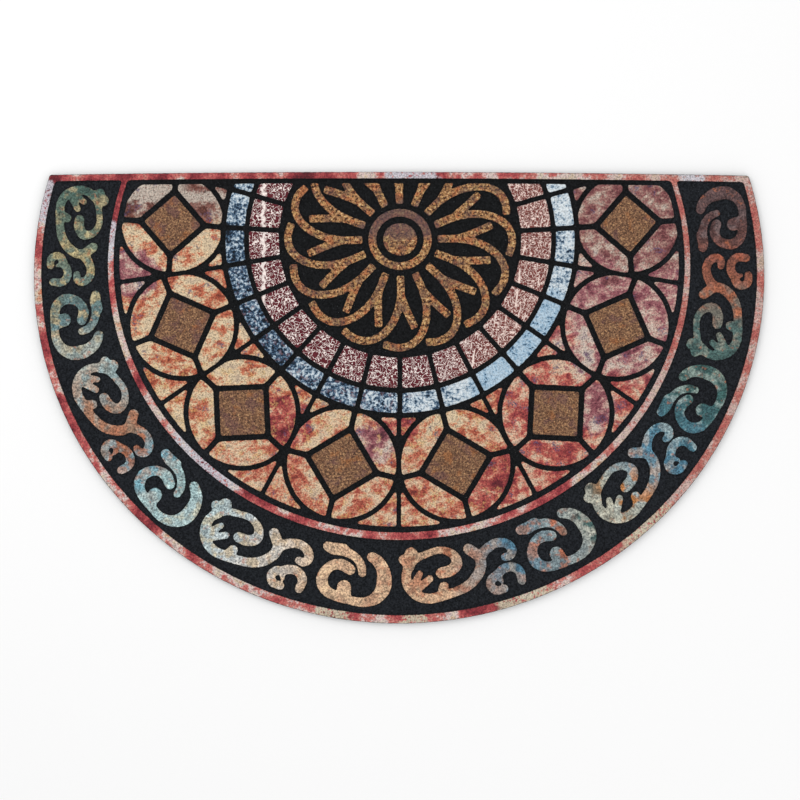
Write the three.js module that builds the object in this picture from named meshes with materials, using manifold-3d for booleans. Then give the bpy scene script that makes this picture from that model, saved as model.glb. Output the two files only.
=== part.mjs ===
// Half round entrance mat: one moulded slab, its whole pattern raised in the face.
// Millimetres, +Z up, the straight edge towards +Y. The origin is under the middle of the mat.
import * as THREE from 'three';
import { mergeVertices } from 'three/addons/utils/BufferGeometryUtils.js';
import Module from 'manifold-3d';

const wasm = await Module();
wasm.setup();

// Driving sizes of the mat
const MAT_WIDTH = 990;
const MAT_DEPTH = 612;
const MAT_THICKNESS = 8;
const RELIEF = 2.2; // how far the pattern stands above the ground
const SUNK = 0.8; // how far each raised piece reaches down into the slab
const TOP_Y = MAT_DEPTH / 2;
const GROUND_Z = MAT_THICKNESS - RELIEF;
const STRAIGHT_EDGE_BOW = 5; // how far the straight edge would drop at the oval's full width

// Ovals that bound the bands, each with its centre on the mat's middle line
const OUTLINE_INSET = 141.5; // from the straight edge to the widest place
const OUTLINE_OVAL = { y: TOP_Y - OUTLINE_INSET, rx: MAT_WIDTH / 2, ry: MAT_DEPTH - OUTLINE_INSET };
const BAND_OVAL = { y: 166.5, rx: OUTLINE_OVAL.rx - 10.5, ry: 460.9 };
const LINE_OUTER_OVAL = { y: 179, rx: 395, ry: 372.2 };
const LINE_INNER_OVAL = { y: 182, rx: 386.5, ry: 364.2 };
const SCROLL_OVAL = { x: -1, y: 172.5, rx: 440.6, ry: 416.5 };

// Straight edge: the raised band along it, then the groove before the tiles
const TOP_BAND = 9.2;
const TOP_GROOVE = 6;
const TILE_TOP_Y = TOP_Y - TOP_BAND - TOP_GROOVE;

// Grooves in the field of tiles
const GROOVE = 7.4;
const RIM_GROOVE = 6.6; // round the tiles' rims and the blocks
const SPOKE_GROOVE = 5.9; // from the blocks outwards, between two round tiles
const BLOCK_JOINT = 6.4;
const NARROWEST_TIP = 2.8; // what is narrower holds no flock, so the tiles' tips end there

// The medallion round the hub, slightly flattened towards the straight edge
const HUB = { x: 1.2, y: 214.5 };
const ROSETTE_FLATTEN = 0.965;
const JOINT_FLATTEN = 0.945;
const JOINT_RISE = 3; // the blocks' joints fan out from a point a little above the hub
const HUB_DISC_R = 23;
const HUB_RING = { inner: 32, outer: 43 };
const RIB_COUNT = 16;
const RIB_WIDTH = 10.8;
const FIRST_RIB = 89.25; // degrees below the horizontal
const CREST = { above: 77, lowered: 3.5 }; // the ribs' crests are pressed down under the straight edge

// Centre lines of one rib, out from the hub and then sideways
const RIB_STEM_AND_ARC = [
  { side: 0, out: 51 },
  { side: 0, out: 78 },
  { side: 4, out: 100 },
  { side: 14, out: 121 },
  { side: 29, out: 136 },
  { side: 46, out: 142 },
  { side: 64, out: 138 },
  { side: 79, out: 126 },
];
const RIB_FORK = [
  { side: 0, out: 78 },
  { side: -8, out: 100 },
  { side: -19, out: 125 },
];

// Two rings of blocks round the rosette
const BLOCKS_PER_TURN = 27;
const BLOCK_RINGS = [
  { inner: { rx: 164, ry: 160 }, outer: { rx: 205, ry: 201.3 } },
  { inner: { rx: 211.3, ry: 208 }, outer: { rx: 236.7, ry: 235.3 } },
];

// Round tiles: each stands once on the right and once on the left of the middle, so far round their own
// centre and below the horizontal, and both then sit a little to one side
const TILE_ORBIT = 313;
const TILE_CENTRE_Y = 213.2;
const ROUND_TILES = [
  { angle: -4.2, orbit: 309.4, aside: 1.4, square: 54.7, rx: 68.8, ry: 66 },
  { angle: 21.4, orbit: 316.1, aside: 0.6, square: 58.3, rx: 70.2, ry: 69 },
  { angle: 47.7, orbit: 315.9, aside: 0, square: 60.4, rx: 72.7, ry: 72.3 },
  { angle: 75.7, orbit: 312.9, aside: -0.2, square: 62, rx: 74.1, ry: 74.3 },
];

// Scrolls of the border, drawn along the border and outwards, with the stroke's width
const CEE_AND_TAIL_SCROLL = [
  {
    name: 'ring',
    steps: 15,
    rows: [
      { along: 12, out: -3, width: 15 },
      { along: 25, out: -5, width: 16 },
      { along: 35, out: -14, width: 15 },
      { along: 30, out: -27, width: 12 },
      { along: 14, out: -34, width: 10 },
      { along: -4, out: -31, width: 10 },
      { along: -22, out: -24, width: 11 },
      { along: -34, out: -10, width: 13 },
      { along: -35, out: 7, width: 14 },
      { along: -25, out: 23, width: 14 },
      { along: -8, out: 30, width: 14 },
      { along: 12, out: 28, width: 14 },
    ],
  },
  {
    name: 'tail',
    steps: 7,
    rows: [
      { along: 8, out: 29, width: 13 },
      { along: 30, out: 24, width: 13 },
      { along: 46, out: 18, width: 14 },
      { along: 60, out: 6, width: 15 },
      { along: 67, out: -9, width: 15 },
      { along: 66, out: -22, width: 14 },
    ],
  },
  {
    name: 'stub',
    steps: 2,
    rows: [
      { along: 66, out: -20, width: 15 },
      { along: 52, out: -32, width: 15 },
    ],
  },
  {
    name: 'hook',
    steps: 8,
    rows: [
      { along: 66, out: -18, width: 15 },
      { along: 76, out: -29, width: 14 },
      { along: 90, out: -36, width: 13 },
      { along: 104, out: -34, width: 13 },
      { along: 111, out: -25, width: 13 },
      { along: 107, out: -17, width: 12 },
      { along: 100, out: -16, width: 11 },
    ],
  },
  {
    name: 'crest',
    steps: 2,
    rows: [
      { along: -31, out: -16, width: 16 },
      { along: -26, out: -33, width: 18 },
    ],
  },
  {
    name: 'spur',
    steps: 1,
    rows: [
      { along: -31, out: -20, width: 13 },
      { along: -37, out: -26, width: 14 },
    ],
  },
  {
    name: 'inner bud',
    steps: 2,
    rows: [
      { along: -29, out: 15, width: 12 },
      { along: -17, out: -5, width: 9 },
    ],
  },
  {
    name: 'outer bud',
    steps: 2,
    rows: [
      { along: -25, out: 18, width: 12 },
      { along: -4, out: 3, width: 10 },
    ],
  },
  {
    name: 'thorn',
    steps: 1,
    rows: [
      { along: 11, out: 27, width: 15 },
      { along: 14, out: 16, width: 14 },
    ],
  },
];
const SPRIG_SCROLL = [
  {
    name: 'sprig',
    steps: 10,
    rows: [
      { along: 95, out: 26.5, width: 12 },
      { along: 84, out: 28, width: 12 },
      { along: 77, out: 21, width: 12 },
      { along: 79, out: 12.5, width: 13 },
      { along: 87, out: 7.5, width: 13 },
      { along: 96, out: 0, width: 13 },
      { along: 108, out: -2, width: 13 },
      { along: 118, out: 4.5, width: 13 },
      { along: 120, out: 18, width: 12 },
    ],
  },
  {
    name: 'sprig thorn',
    steps: 1,
    rows: [
      { along: 88, out: 8.5, width: 8 },
      { along: 93, out: 16.5, width: 6 },
    ],
  },
];
const OPEN_CEE_SCROLL = [
  {
    name: 'cee',
    steps: 15,
    rows: [
      { along: -3, out: -6, width: 15 },
      { along: -14, out: -11, width: 16 },
      { along: -27, out: -9, width: 14 },
      { along: -37, out: 2, width: 15 },
      { along: -39, out: 14, width: 16 },
      { along: -32, out: 26, width: 15 },
      { along: -18, out: 32, width: 14 },
      { along: 0, out: 35, width: 12 },
      { along: 18, out: 36, width: 13 },
      { along: 34, out: 30, width: 16 },
      { along: 44, out: 17, width: 20 },
      { along: 45, out: 2, width: 21 },
      { along: 41, out: -12, width: 18 },
      { along: 33, out: -22, width: 16 },
      { along: 24, out: -27, width: 14 },
    ],
  },
  {
    name: 'berry',
    steps: 1,
    rows: [
      { along: -6, out: 32, width: 18 },
      { along: -8, out: 19, width: 20 },
    ],
  },
];
const LEAF_SCROLL = [
  {
    name: 'leaf',
    steps: 3,
    rows: [
      { along: -37, out: -33, width: 14 },
      { along: -27, out: -31, width: 17 },
      { along: -16, out: -32, width: 16 },
    ],
  },
  {
    name: 'leaf stalk',
    steps: 6,
    rows: [
      { along: -22, out: -30, width: 13 },
      { along: -8, out: -28, width: 13 },
      { along: 4, out: -22, width: 12 },
      { along: 12, out: -12, width: 12 },
      { along: 14, out: -3, width: 11 },
    ],
  },
];

// Where each scroll stands: degrees along the border, from the left horizontal round the bottom, and outwards
const SCROLL_STATIONS = [
  { kind: 'tailed', angle: -10.9, out: 0 },
  { kind: 'open', angle: 9.9, out: 0 },
  { kind: 'tailed', angle: 23.2, out: 0.7 },
  { kind: 'open', angle: 45.2, out: 1 },
  { kind: 'tailed', angle: 59, out: 1.7 },
  { kind: 'open', angle: 81.8, out: -0.5 },
  { kind: 'tailed', angle: 96.1, out: 0 },
  { kind: 'open', angle: 119, out: -1 },
  { kind: 'tailed', angle: 133.2, out: -0.5 },
  { kind: 'open', angle: 155.2, out: -0.6 },
  { kind: 'tailed', angle: 168.5, out: 1 },
  { kind: 'open', angle: 189.2, out: 1 },
];
const SCROLLS_BY_KIND = {
  tailed: [...CEE_AND_TAIL_SCROLL, ...SPRIG_SCROLL],
  open: [...OPEN_CEE_SCROLL, ...LEAF_SCROLL],
};
const SCROLL_SHRINK = { along: 0.14, across: 0.1 }; // how much smaller they are at the straight edge
const ROUND_SHARE = 0.95; // how far along its width each round outline meets the straight edge

// Steps round the curves
const OUTLINE_STEPS = 46;
const LINE_STEPS = 40;
const RING_STEPS = 84;
const TILE_STEPS = 28;
const HUB_STEPS = 24;
const RIB_STEPS = 8;
const TOP_STEPS = 8;
const CAP_STEPS = 3;
const FLATNESS = 0.15; // how far the tiles' outlines may stray from the curve
const SMALLEST_PIECE = 90; // mm3 above the ground, less is a sliver that a groove cut off

const MAT_MATERIAL = new THREE.MeshStandardMaterial({ color: 0x8a5f4a, roughness: 0.95, metalness: 0 });

// A closed geometry as a solid that can be joined and cut
function solidFrom(geometry) {
  geometry.deleteAttribute('normal');
  geometry.deleteAttribute('uv');
  const merged = mergeVertices(geometry, 1e-4);
  const mesh = new wasm.Mesh({
    numProp: 3,
    vertProperties: merged.attributes.position.array,
    triVerts: new Uint32Array(merged.index.array),
  });
  return new wasm.Manifold(mesh);
}

// An upright prism over a list of points, from the height low to the height high
function prism(points, low, high) {
  const shape = new THREE.Shape(points);
  const geometry = new THREE.ExtrudeGeometry(shape, { depth: high - low, bevelEnabled: false });
  geometry.translate(0, 0, low);
  return solidFrom(geometry);
}

// A prism of the pattern's own height, sunk a little into the slab
function raised(points) {
  return prism(points, GROUND_Z - SUNK, MAT_THICKNESS);
}

// A prism that cuts right through the raised pattern
function cutter(points) {
  return prism(points, -1, MAT_THICKNESS + 1);
}

function joined(solids) {
  return wasm.Manifold.union(solids);
}

function ovalPoint(oval, degrees) {
  const angle = THREE.MathUtils.degToRad(degrees);
  return new THREE.Vector2((oval.x ?? 0) + oval.rx * Math.cos(angle), oval.y + oval.ry * Math.sin(angle));
}

function ovalPoints(oval, steps) {
  return Array.from({ length: steps }, (_, i) => ovalPoint(oval, (360 * i) / steps));
}

// How far the straight edge, and all that follows it, has dropped at a distance from the middle
function edgeDrop(x) {
  return STRAIGHT_EDGE_BOW * (x / OUTLINE_OVAL.rx) ** 2;
}

// The part of an oval below the straight edge, from its left end round the bottom to its right end
function halfRoundPoints(oval, topY, steps) {
  const endY = topY - edgeDrop(oval.rx * ROUND_SHARE);
  const rise = THREE.MathUtils.radToDeg(Math.asin((endY - oval.y) / oval.ry));
  const sweep = 180 + 2 * rise;
  return Array.from({ length: steps + 1 }, (_, i) => ovalPoint(oval, 180 - rise + (sweep * i) / steps));
}

// The slightly bowed top between two distances from the middle, without its ends
function bowedTopPoints(fromX, toX, topY) {
  const points = [];
  for (let i = 1; i < TOP_STEPS; i += 1) {
    const x = THREE.MathUtils.lerp(fromX, toX, i / TOP_STEPS);
    points.push(new THREE.Vector2(x, topY - edgeDrop(x)));
  }
  return points;
}

// A half round outline closed by its bowed top
function closedHalfRound(oval, topY, steps) {
  const round = halfRoundPoints(oval, topY, steps);
  const reach = round[steps].x;
  return [...round, ...bowedTopPoints(reach, -reach, topY)];
}

// A rectangle about a point, turned by an angle in degrees
function rectanglePoints(centre, length, width, degrees) {
  const corners = [
    new THREE.Vector2(-length / 2, -width / 2),
    new THREE.Vector2(length / 2, -width / 2),
    new THREE.Vector2(length / 2, width / 2),
    new THREE.Vector2(-length / 2, width / 2),
  ];
  const angle = THREE.MathUtils.degToRad(degrees);
  return corners.map((corner) => corner.rotateAround(new THREE.Vector2(), angle).add(centre));
}

// A point given by its distance from a centre and its angle below the horizontal
function pointBelow(centre, distance, degreesBelow) {
  const angle = THREE.MathUtils.degToRad(degreesBelow);
  return new THREE.Vector2(centre.x + distance * Math.cos(angle), centre.y - distance * Math.sin(angle));
}

// The outline of a stroke along a smooth centre line, whose z is the stroke's width
function strokePoints(knots, steps, roundEnds) {
  const curve = new THREE.CatmullRomCurve3(knots, false, 'centripetal');
  const left = [];
  const right = [];
  for (let i = 0; i <= steps; i += 1) {
    const t = i / steps;
    const at = curve.getPoint(t);
    const heading = curve.getTangent(t);
    const across = new THREE.Vector2(-heading.y, heading.x).normalize().multiplyScalar(at.z / 2);
    left.push(new THREE.Vector2(at.x + across.x, at.y + across.y));
    right.push(new THREE.Vector2(at.x - across.x, at.y - across.y));
  }
  const endCap = roundEnds ? capPoints(right[steps], left[steps]) : [];
  const startCap = roundEnds ? capPoints(left[0], right[0]) : [];
  return [...right, ...endCap, ...left.reverse(), ...startCap];
}

// The points of a half circle between two points, without the two
function capPoints(from, to) {
  const middle = from.clone().add(to).multiplyScalar(0.5);
  const spoke = from.clone().sub(middle);
  const points = [];
  for (let i = 1; i < CAP_STEPS; i += 1) {
    points.push(spoke.clone().rotateAround(new THREE.Vector2(), (Math.PI * i) / CAP_STEPS).add(middle));
  }
  return points;
}

// The slab with its raised band along the whole edge
function makeSlab() {
  const outline = closedHalfRound(OUTLINE_OVAL, TOP_Y, OUTLINE_STEPS);
  const recess = closedHalfRound(BAND_OVAL, TOP_Y - TOP_BAND, OUTLINE_STEPS);
  return prism(outline, 0, MAT_THICKNESS).subtract(prism(recess, GROUND_Z, MAT_THICKNESS + 1));
}

// The thin raised line between the scrolls and the tiles, which runs into the straight band
function makeLine() {
  const topY = TOP_Y - TOP_BAND + 1;
  const outer = halfRoundPoints(LINE_OUTER_OVAL, topY, LINE_STEPS);
  const inner = halfRoundPoints(LINE_INNER_OVAL, topY, LINE_STEPS);
  return raised([...outer, ...inner.reverse()]);
}

// Everything on the tile side of the straight edge's groove
function makeBelowTop() {
  const reach = OUTLINE_OVAL.rx;
  const low = [new THREE.Vector2(-reach, -TOP_Y), new THREE.Vector2(reach, -TOP_Y)];
  const high = [new THREE.Vector2(reach, TILE_TOP_Y - edgeDrop(reach))];
  high.push(...bowedTopPoints(reach, -reach, TILE_TOP_Y));
  high.push(new THREE.Vector2(-reach, TILE_TOP_Y - edgeDrop(reach)));
  return cutter([...low, ...high]);
}

function makeHub() {
  const disc = (r) => ({ ...HUB, rx: r, ry: r * ROSETTE_FLATTEN });
  const ring = raised(ovalPoints(disc(HUB_RING.outer), HUB_STEPS));
  const well = cutter(ovalPoints(disc(HUB_RING.inner), HUB_STEPS));
  return ring.subtract(well).add(raised(ovalPoints(disc(HUB_DISC_R), HUB_STEPS)));
}

// One stroke of a rib, turned to its place round the hub
function makeRibStroke(rows, degreesBelow, steps) {
  const angle = THREE.MathUtils.degToRad(degreesBelow);
  const knots = rows.map(({ side, out }) => {
    const x = out * Math.cos(angle) - side * Math.sin(angle);
    const drop = out * Math.sin(angle) + side * Math.cos(angle);
    const pressed = CREST.lowered * (Math.max(0, -drop) / CREST.above) ** 3;
    return new THREE.Vector3(HUB.x + x, HUB.y - drop * ROSETTE_FLATTEN - pressed, RIB_WIDTH);
  });
  return raised(strokePoints(knots, steps, false));
}

function makeRosette() {
  const strokes = [];
  for (let i = 0; i < RIB_COUNT; i += 1) {
    const degreesBelow = FIRST_RIB + (360 * i) / RIB_COUNT;
    strokes.push(makeRibStroke(RIB_STEM_AND_ARC, degreesBelow, RIB_STEPS));
    strokes.push(makeRibStroke(RIB_FORK, degreesBelow, 2));
  }
  return joined(strokes);
}

// Both rings of blocks, parted by the same straight joints
function makeBlocks() {
  const rings = BLOCK_RINGS.map(({ inner, outer }) => {
    const ring = raised(ovalPoints({ ...HUB, ...outer }, RING_STEPS));
    return ring.subtract(cutter(ovalPoints({ ...HUB, ...inner }, RING_STEPS)));
  });
  const reach = BLOCK_RINGS[1].outer.rx + GROOVE;
  const fan = { x: HUB.x, y: HUB.y + JOINT_RISE };
  const joints = [];
  for (let i = 0; i < BLOCKS_PER_TURN; i += 1) {
    const even = Math.PI / 2 + (2 * Math.PI * i) / BLOCKS_PER_TURN;
    const flattened = Math.atan2(JOINT_FLATTEN * Math.sin(even), Math.cos(even));
    const degreesBelow = THREE.MathUtils.radToDeg(flattened);
    const centre = pointBelow(fan, reach / 2, degreesBelow);
    joints.push(cutter(rectanglePoints(centre, reach, BLOCK_JOINT, -degreesBelow)));
  }
  return joined(rings).subtract(joined(joints));
}

// The round tiles of both halves, with the angle of their diagonals
function allRoundTiles() {
  const left = ROUND_TILES.map((tile) => ({ ...tile, angle: 180 - tile.angle }));
  return [...ROUND_TILES, ...left].map((tile) => {
    const middle = { x: tile.aside, y: TILE_CENTRE_Y };
    return { ...tile, centre: pointBelow(middle, tile.orbit, tile.angle) };
  });
}

function tileOval(tile, margin) {
  const oval = { y: tile.centre.y, rx: tile.rx + margin, ry: tile.ry + margin };
  return ovalPoints(oval, TILE_STEPS).map((point) => point.add(new THREE.Vector2(tile.centre.x, 0)));
}

// A square on its corner in a circle, with a groove round it and four grooves to the rim
function makeRoundTile(tile) {
  const side = tile.square + 2 * GROOVE;
  const turned = 45 - tile.angle;
  const spokeLength = 2 * tile.rx + GROOVE;
  const grooves = joined([
    cutter(rectanglePoints(tile.centre, side, side, turned)),
    cutter(rectanglePoints(tile.centre, spokeLength, GROOVE, -tile.angle)),
    cutter(rectanglePoints(tile.centre, spokeLength, GROOVE, 90 - tile.angle)),
  ]);
  const square = raised(rectanglePoints(tile.centre, tile.square, tile.square, turned));
  return raised(tileOval(tile, 0)).subtract(grooves).add(square);
}

// The field between the blocks and the thin line, less a groove at both
function makeField() {
  const outer = { y: LINE_INNER_OVAL.y, rx: LINE_INNER_OVAL.rx - GROOVE, ry: LINE_INNER_OVAL.ry - GROOVE };
  const blocks = BLOCK_RINGS[1].outer;
  const inner = { ...HUB, rx: blocks.rx + RIM_GROOVE, ry: blocks.ry + RIM_GROOVE };
  const field = raised(closedHalfRound(outer, TILE_TOP_Y, LINE_STEPS));
  return field.subtract(cutter(ovalPoints(inner, RING_STEPS)));
}

// The grooves that run out from the hub between two round tiles
function makeSpokes() {
  const tiles = ROUND_TILES.map(({ angle }) => angle);
  const first = tiles[0] - (tiles[1] - tiles[0]);
  const angles = [first, ...tiles, 180 - tiles[tiles.length - 1]];
  const spokes = [];
  for (let i = 1; i < angles.length; i += 1) {
    const middle = (angles[i - 1] + angles[i]) / 2;
    for (const degreesBelow of new Set([middle, 180 - middle])) {
      const centre = pointBelow({ x: 0, y: TILE_CENTRE_Y }, TILE_ORBIT, degreesBelow);
      spokes.push(cutter(rectanglePoints(centre, TILE_ORBIT, SPOKE_GROOVE, -degreesBelow)));
    }
  }
  return joined(spokes);
}

// The raised tiles again, without the parts that are too narrow
function withoutNarrowTips(solid) {
  const shape = solid.slice(MAT_THICKNESS - RELIEF / 2);
  const opened = shape.offset(-NARROWEST_TIP / 2, 'Miter').offset(NARROWEST_TIP / 2, 'Miter');
  return opened.simplify(FLATNESS).extrude(RELIEF + SUNK).translate([0, 0, GROUND_Z - SUNK]);
}

function makeTileField() {
  const tiles = allRoundTiles();
  const field = makeField();
  const rims = joined(tiles.map((tile) => cutter(tileOval(tile, RIM_GROOVE))));
  const corners = field.subtract(rims);
  const rounds = joined(tiles.map(makeRoundTile)).intersect(field);
  return withoutNarrowTips(joined([corners, rounds]).subtract(makeSpokes()));
}

// One scroll's strokes at its place on the border
function makeScroll({ kind, angle, out: shift }) {
  const at = ovalPoint(SCROLL_OVAL, 180 + angle);
  const turn = THREE.MathUtils.degToRad(180 + angle);
  const outward = new THREE.Vector2(Math.cos(turn) / SCROLL_OVAL.rx, Math.sin(turn) / SCROLL_OVAL.ry).normalize();
  const onward = new THREE.Vector2(-outward.y, outward.x);
  const towardsTop = 1 - Math.sin(THREE.MathUtils.degToRad(angle));
  const alongScale = 1 - SCROLL_SHRINK.along * towardsTop;
  const acrossScale = 1 - SCROLL_SHRINK.across * towardsTop;
  const strokes = SCROLLS_BY_KIND[kind].map(({ rows, steps }) => {
    const knots = rows.map(({ along, out, width }) => {
      const point = at
        .clone()
        .addScaledVector(onward, along * alongScale)
        .addScaledVector(outward, shift + out * acrossScale);
      return new THREE.Vector3(point.x, point.y, width * acrossScale);
    });
    return raised(strokePoints(knots, steps, true));
  });
  return joined(strokes);
}

// Drops the slivers that the grooves leave
function withoutSlivers(solid) {
  return joined(solid.decompose().filter((piece) => piece.volume() > SMALLEST_PIECE));
}

function makeMat() {
  const medallion = joined([makeHub(), makeRosette(), makeBlocks()]).intersect(makeBelowTop());
  const relief = joined([medallion, makeTileField()]);
  return joined([makeSlab(), makeLine(), withoutSlivers(relief), ...SCROLL_STATIONS.map(makeScroll)]);
}

function geometryFrom(solid) {
  const mesh = solid.getMesh();
  const geometry = new THREE.BufferGeometry();
  geometry.setAttribute('position', new THREE.BufferAttribute(mesh.vertProperties, 3));
  geometry.setIndex(new THREE.BufferAttribute(mesh.triVerts, 1));
  geometry.computeVertexNormals();
  return geometry;
}

const mat = new THREE.Mesh(geometryFrom(makeMat()), MAT_MATERIAL);
mat.name = 'mat';

const rug = new THREE.Group();
rug.add(mat);

export default rug;
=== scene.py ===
import bpy
import bmesh
import math
import numpy as np
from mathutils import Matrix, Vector, noise


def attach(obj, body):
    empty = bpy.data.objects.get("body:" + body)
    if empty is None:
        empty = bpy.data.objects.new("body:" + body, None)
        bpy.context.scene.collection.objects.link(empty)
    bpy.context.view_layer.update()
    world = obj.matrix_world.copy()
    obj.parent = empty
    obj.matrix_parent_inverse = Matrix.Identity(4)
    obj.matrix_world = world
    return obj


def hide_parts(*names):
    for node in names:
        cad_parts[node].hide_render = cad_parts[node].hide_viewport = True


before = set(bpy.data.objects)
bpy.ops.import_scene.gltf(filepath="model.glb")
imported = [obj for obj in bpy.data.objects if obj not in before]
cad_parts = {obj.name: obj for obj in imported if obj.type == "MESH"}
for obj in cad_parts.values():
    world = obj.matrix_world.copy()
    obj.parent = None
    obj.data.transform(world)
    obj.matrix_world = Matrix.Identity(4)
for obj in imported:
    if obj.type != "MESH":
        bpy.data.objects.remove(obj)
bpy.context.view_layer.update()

# The half round rug: a moulded slab and, on it, every raised part of the pattern as a piece of its own.
# Sizes are in millimetres as a maker would write them, and mm turns them into Blender's metres.
mm = 0.001

rug = {
    "width": 990,
    "depth": 612,
    "thickness": 8,
    "relief": 2.2,
    "sunk": 0.8,          # how far a raised part reaches into the slab
    "edgeBow": 5,         # drop of the straight edge towards its ends
    "topBand": 9.2,
    "topGroove": 6,
    "groove": 7.4,
    "rimGroove": 6.6,
}
hub = {"x": 1.2, "y": 214.5}  # the medallion sits a little to the right of the middle
halfDepth = rug["depth"] / 2
groundHeight = rug["thickness"] - rug["relief"]
tileTop = halfDepth - rug["topBand"] - rug["topGroove"]

ovals = {
    "outline": {"y": 164.5, "rx": 495, "ry": 470.5},
    "band": {"y": 166.5, "rx": 484.5, "ry": 460.9},
    "lineOuter": {"y": 179, "rx": 395, "ry": 372.2},
    "lineInner": {"y": 182, "rx": 386.5, "ry": 364.2},
    "scroll": {"x": -1, "y": 172.5, "rx": 440.6, "ry": 416.5},
}


def clearSelection():
    if bpy.context.object and bpy.context.object.mode != "OBJECT":
        bpy.ops.object.mode_set(mode="OBJECT")
    bpy.ops.object.select_all(action="DESELECT")


def pick(pieces):
    clearSelection()
    for piece in pieces:
        piece.select_set(True)
    bpy.context.view_layer.objects.active = pieces[0]


def joinPieces(pieces):
    pick(pieces)
    if len(pieces) > 1:
        bpy.ops.object.join()
    return bpy.context.object


def addObject(name, data):
    made = bpy.data.objects.new(name, data)
    bpy.context.scene.collection.objects.link(made)
    return made


def setDown(piece):
    pick([piece])
    bpy.ops.object.transform_apply(location=True, rotation=True, scale=True)
    return piece


# Blanks: stock from 0 to 10 mm high that is sawn to the outlines. Saws reach past it both ways.
stock = (0, 10)
saw = (-10, 20)
# The bar for the bowed edge: how much longer than the rug it is, how deep, and how many cuts it has
bowedBar = {"spare": 40, "deep": 1000, "cuts": 47}


def ovalBlank(oval, reach, steps=256, grow=0):
    clearSelection()
    low, high = reach
    bpy.ops.mesh.primitive_cylinder_add(
        vertices=steps,
        radius=1,
        depth=1,
        location=(oval.get("x", 0) * mm, oval["y"] * mm, (low + high) / 2 * mm),
        scale=((oval["rx"] + grow) * mm, (oval["ry"] + grow) * mm, (high - low) * mm),
    )
    return setDown(bpy.context.object)


def barBlank(centre, length, width, turn, reach):
    clearSelection()
    low, high = reach
    bpy.ops.mesh.primitive_cube_add(
        size=1,
        location=(centre[0] * mm, centre[1] * mm, (low + high) / 2 * mm),
        rotation=(0, 0, math.radians(turn)),
        scale=(length * mm, width * mm, (high - low) * mm),
    )
    return setDown(bpy.context.object)


def edgeDrop(x):
    return rug["edgeBow"] * (x / ovals["outline"]["rx"]) ** 2


def bowedBlank(topY, reach):
    # everything below the slightly bowed line of the straight edge: a bar whose top row of points is lowered
    length = rug["width"] + bowedBar["spare"]
    piece = barBlank((0, topY - bowedBar["deep"] / 2), length, bowedBar["deep"], 0, reach)
    pick([piece])
    bpy.ops.object.mode_set(mode="EDIT")
    bpy.ops.mesh.select_all(action="DESELECT")
    bpy.ops.object.mode_set(mode="OBJECT")
    for edge in piece.data.edges:
        ends = [piece.data.vertices[v].co for v in edge.vertices]
        edge.select = abs(ends[0].x - ends[1].x) > 0.1 * length * mm
    bpy.ops.object.mode_set(mode="EDIT")
    bpy.ops.mesh.subdivide(number_cuts=bowedBar["cuts"], quadcorner="INNERVERT")
    bpy.ops.object.mode_set(mode="OBJECT")
    for vertex in piece.data.vertices:
        if vertex.co.y > (topY - 1) * mm:
            vertex.co.y -= edgeDrop(vertex.co.x / mm) * mm
    return piece


def carve(piece, tools, operation="DIFFERENCE"):
    # the tools of one cut stand clear of each other, which keeps the cut quick
    tool = joinPieces(tools)
    cut = piece.modifiers.new("cut", "BOOLEAN")
    cut.operation = operation
    cut.object = tool
    cut.solver = "EXACT"
    pick([piece])
    bpy.ops.object.modifier_apply(modifier="cut")
    bpy.data.objects.remove(tool)
    return piece


def halfRound(oval, topY, reach, steps=256):
    return carve(ovalBlank(oval, reach, steps), [bowedBlank(topY, saw)], "INTERSECT")


# Outlines: the rims of a blank's top, evened out, softened at the corners and a little uneven, as flock is.
def rimLoops(blank):
    # the blank itself goes once its rims are taken
    book = bmesh.new()
    book.from_mesh(blank.data)
    bmesh.ops.remove_doubles(book, verts=book.verts, dist=0.01 * mm)
    tops = set(
        face
        for face in book.faces
        if abs(face.normal.z) > 0.9 and abs(face.calc_center_median().z - stock[1] * mm) < 0.05 * mm
    )
    following = {}
    for face in tops:
        for corner in face.loops:
            if sum(side in tops for side in corner.edge.link_faces) == 1:
                here = corner.vert.co
                there = corner.link_loop_next.vert.co
                if face.normal.z < 0:
                    here, there = there, here
                following[(round(here.x, 7), round(here.y, 7))] = (round(there.x, 7), round(there.y, 7))
    book.free()
    bpy.data.objects.remove(blank)
    loops = []
    for start in sorted(following):  # from left to right, so that every run has them in the same order
        loop = []
        at = start
        while at in following:
            loop.append(at)
            at = following.pop(at)
        if len(loop) > 2:
            loops.append(np.array(loop) / mm)
    return loops


def enclosedArea(loop):
    ahead = np.roll(loop, -1, axis=0)
    return 0.5 * float(np.sum(loop[:, 0] * ahead[:, 1] - ahead[:, 0] * loop[:, 1]))


def leftward(loop):
    along = np.roll(loop, -1, axis=0) - np.roll(loop, 1, axis=0)
    along /= np.maximum(np.linalg.norm(along, axis=1, keepdims=True), 1e-6)
    return np.stack([-along[:, 1], along[:, 0]], axis=1)


def relaxed(loop, passes):
    for _ in range(passes):
        loop = 0.5 * loop + 0.25 * (np.roll(loop, 1, axis=0) + np.roll(loop, -1, axis=0))
    return loop


def evened(loop, pitch):
    closed = np.vstack([loop, loop[:1]])
    run = np.concatenate([[0], np.cumsum(np.linalg.norm(np.diff(closed, axis=0), axis=1))])
    count = max(12, int(round(run[-1] / pitch)))
    at = np.arange(count) * run[-1] / count
    return np.stack([np.interp(at, run, closed[:, 0]), np.interp(at, run, closed[:, 1])], axis=1)


tipSearch = {"pitch": 0.7, "arm": 4, "sharp": 0.6}  # mm, points either way, cosine between the two sides


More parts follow.
